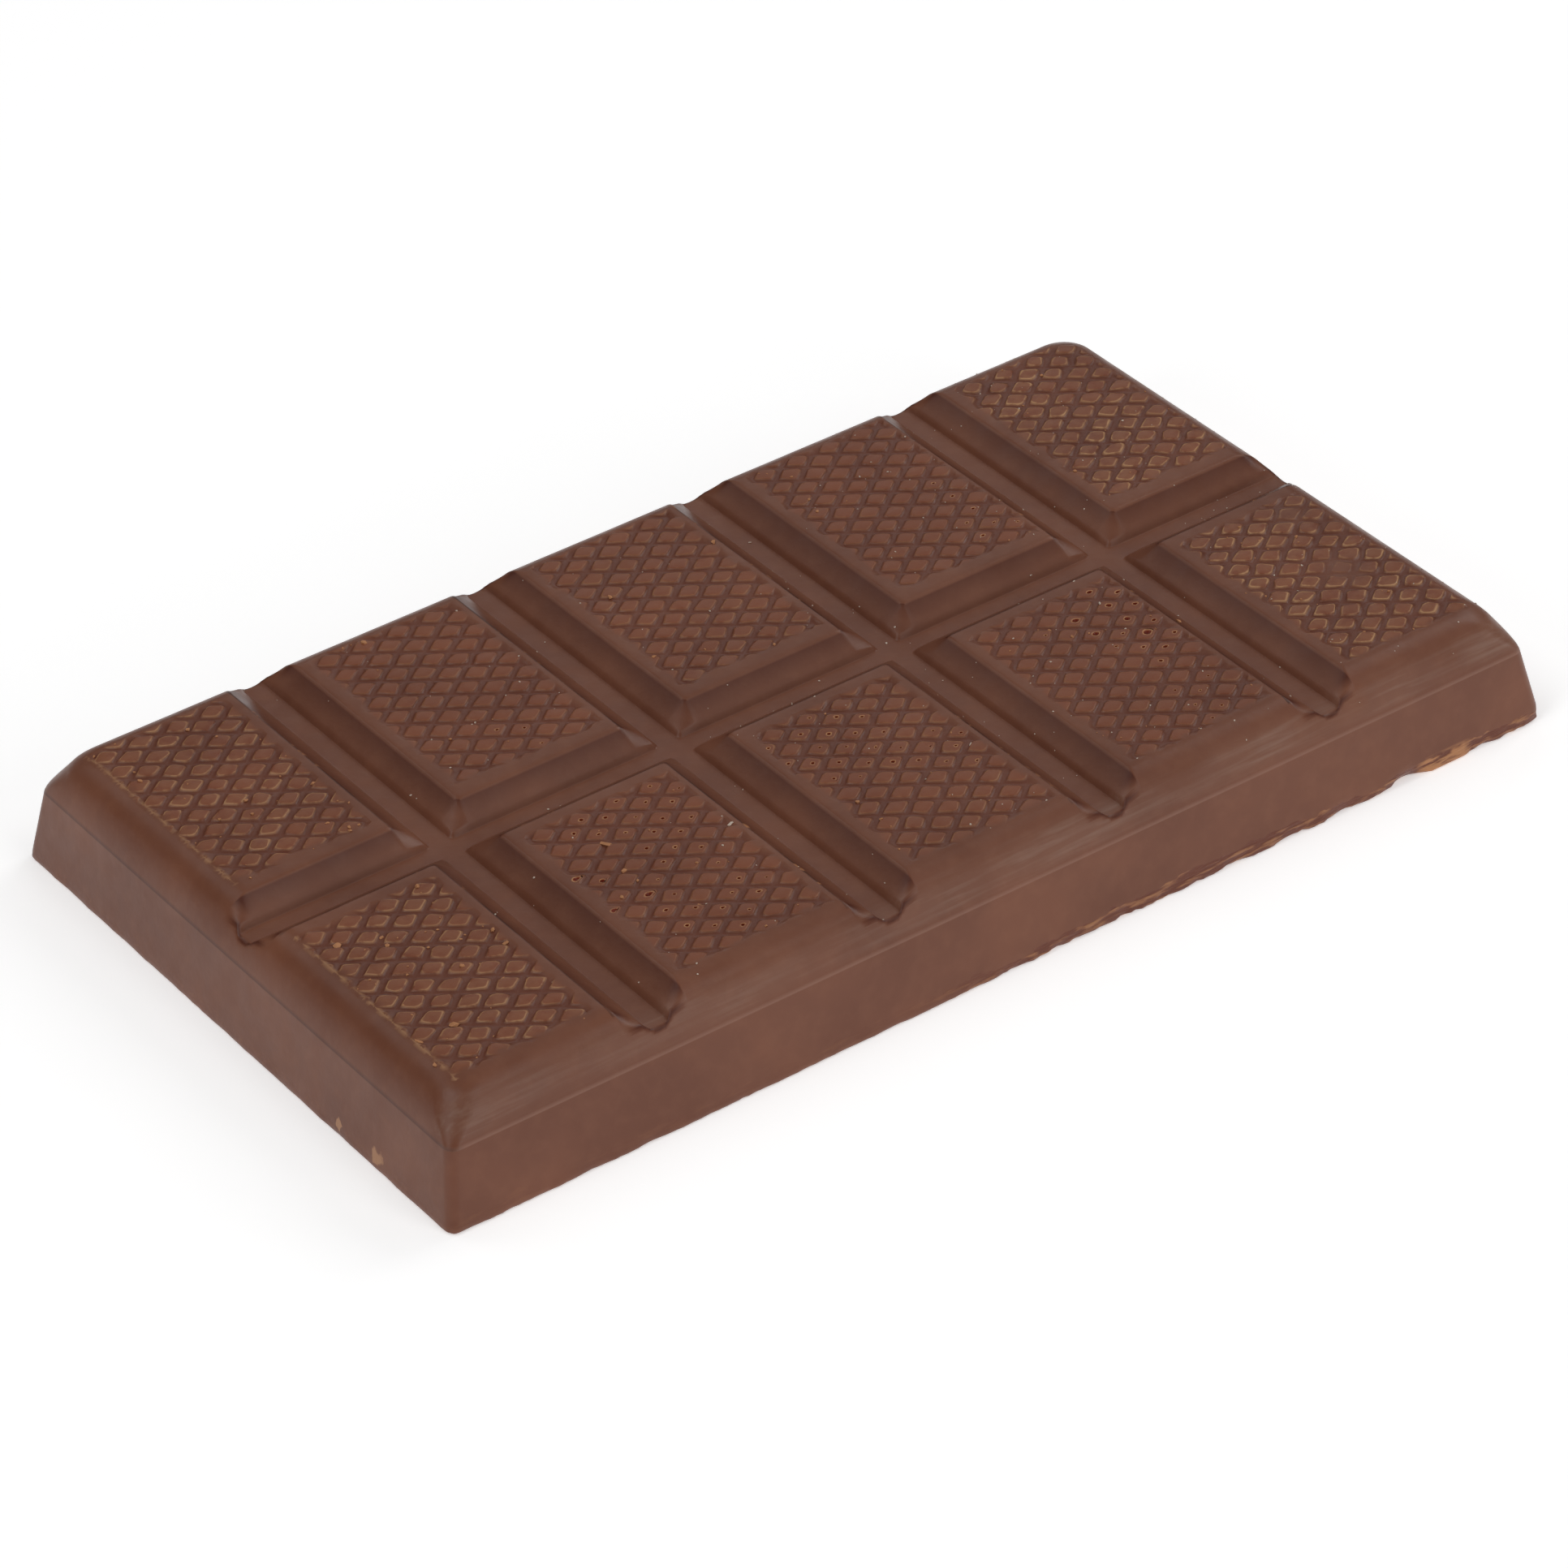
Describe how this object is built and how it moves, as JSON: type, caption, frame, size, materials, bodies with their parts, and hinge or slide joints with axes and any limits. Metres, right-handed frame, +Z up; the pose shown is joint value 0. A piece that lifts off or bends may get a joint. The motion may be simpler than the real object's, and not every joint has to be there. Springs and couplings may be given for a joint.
{
  "type": "chocolate bar",
  "caption": "Rectangular moulded milk chocolate bar with drafted sides and rounded break grooves that part it into oblong pieces engraved with small lozenges.",
  "frame": {"origin": "middle of the flat underside", "axes": "+X along the bar's long side, +Y along its short side towards the back row, +Z up through its thickness"},
  "size_m": [0.1082, 0.063, 0.0106],
  "materials": {
    "milk_chocolate": "satin"
  },
  "bodies": {
    "root": {"chocolate_bar": "milk_chocolate"}
  },
  "joints": []
}
